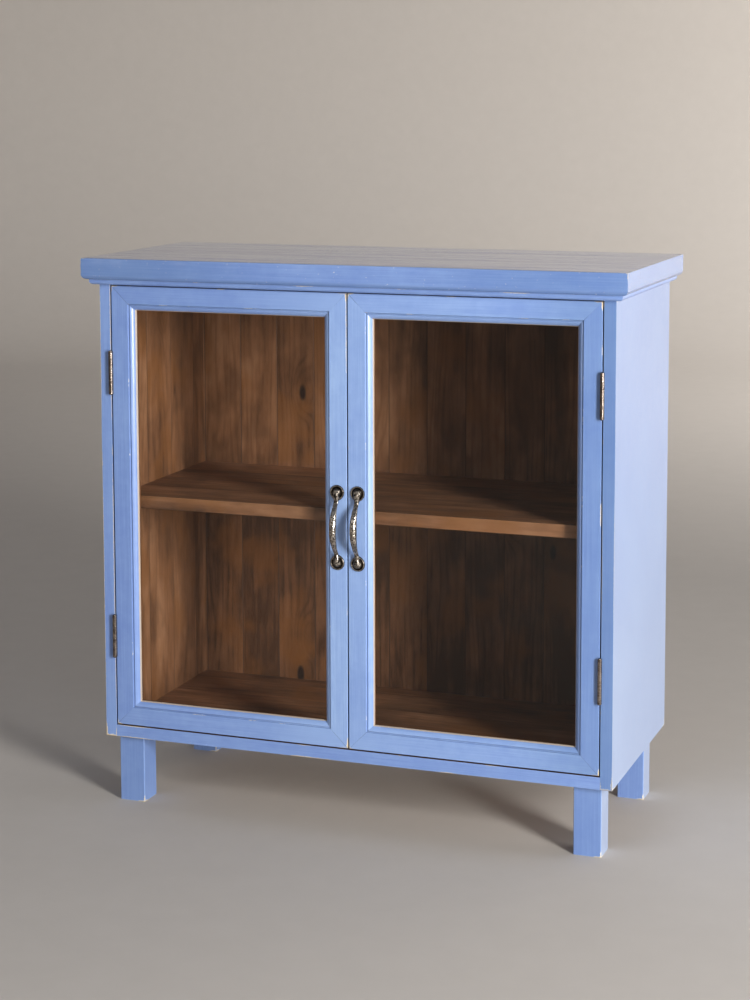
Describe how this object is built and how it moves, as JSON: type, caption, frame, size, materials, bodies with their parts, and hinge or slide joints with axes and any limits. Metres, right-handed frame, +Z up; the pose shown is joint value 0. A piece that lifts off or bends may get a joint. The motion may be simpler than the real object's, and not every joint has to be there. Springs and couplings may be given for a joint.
{
  "type": "glazed cabinet",
  "caption": "Low free-standing cabinet with a moulded top, short square legs, a shelf and glazed doors hung on butt hinges, in worn blue paint over stained wood.",
  "frame": {"origin": "on the floor, under the middle of the object's box", "axes": "+Z up, front with the doors and handles towards -Y, +X to the right as seen from the front"},
  "size_m": [0.815, 0.3544, 0.817],
  "materials": {
    "painted_wood": "satin blue paint, worn through at the edges",
    "stained_wood": "brown stained fir with a dull wax finish",
    "dowel_wood": "bare beech",
    "glass": "clear polished",
    "handle_metal": "hammered antique bronze, worn bright on the high spots",
    "hinge_metal": "aged brass",
    "screws": "yellow passivated steel",
    "strike_steel": "plated steel",
    "catch_plastic": "brown moulded plastic"
  },
  "bodies": {
    "cabinet": {"top_board": "painted_wood", "front_top_moulding": "painted_wood", "left_top_moulding": "painted_wood", "right_top_moulding": "painted_wood", "left_side": "painted_wood", "right_side": "painted_wood", "bottom_board": "stained_wood", "front_top_rail": "stained_wood", "rear_top_rail": "stained_wood", "back_panel": "stained_wood", "shelf": "stained_wood", "front_left_leg": "painted_wood", "front_right_leg": "painted_wood", "rear_left_leg": "painted_wood", "rear_right_leg": "painted_wood", "leg_studs": "screws", "body_dowels": "dowel_wood", "top_screws": "screws", "back_screws": "screws", "left_upper_fixed_leaf": "hinge_metal", "left_lower_fixed_leaf": "hinge_metal", "right_upper_fixed_leaf": "hinge_metal", "right_lower_fixed_leaf": "hinge_metal", "left_upper_hinge_pin": "hinge_metal", "left_lower_hinge_pin": "hinge_metal", "right_upper_hinge_pin": "hinge_metal", "right_lower_hinge_pin": "hinge_metal", "side_hinge_screws": "screws", "door_catch": "catch_plastic", "catch_screws": "screws"},
    "left_door": {"left_door_hinge_stile": "painted_wood", "left_door_meeting_stile": "painted_wood", "left_door_top_rail": "painted_wood", "left_door_bottom_rail": "painted_wood", "left_glass": "glass", "left_hinge_side_bead": "stained_wood", "left_meeting_side_bead": "stained_wood", "left_top_bead": "stained_wood", "left_bottom_bead": "stained_wood", "left_handle": "handle_metal", "left_handle_screws": "screws", "left_upper_door_leaf": "hinge_metal", "left_lower_door_leaf": "hinge_metal", "left_door_screws": "screws", "left_strike_plate": "strike_steel"},
    "right_door": {"right_door_hinge_stile": "painted_wood", "right_door_meeting_stile": "painted_wood", "right_door_top_rail": "painted_wood", "right_door_bottom_rail": "painted_wood", "right_glass": "glass", "right_hinge_side_bead": "stained_wood", "right_meeting_side_bead": "stained_wood", "right_top_bead": "stained_wood", "right_bottom_bead": "stained_wood", "right_handle": "handle_metal", "right_handle_screws": "screws", "right_upper_door_leaf": "hinge_metal", "right_lower_door_leaf": "hinge_metal", "right_door_screws": "screws", "right_strike_plate": "strike_steel"}
  },
  "joints": [
    {"name": "left_door_hinge", "type": "hinge", "parent": "cabinet", "child": "left_door", "pos_m": [-0.3695, -0.15605, 0.45], "axis": [0, 0, -1], "range_deg": [0, 180]},
    {"name": "right_door_hinge", "type": "hinge", "parent": "cabinet", "child": "right_door", "pos_m": [0.3695, -0.15605, 0.45], "axis": [0, 0, 1], "range_deg": [0, 180]}
  ]
}
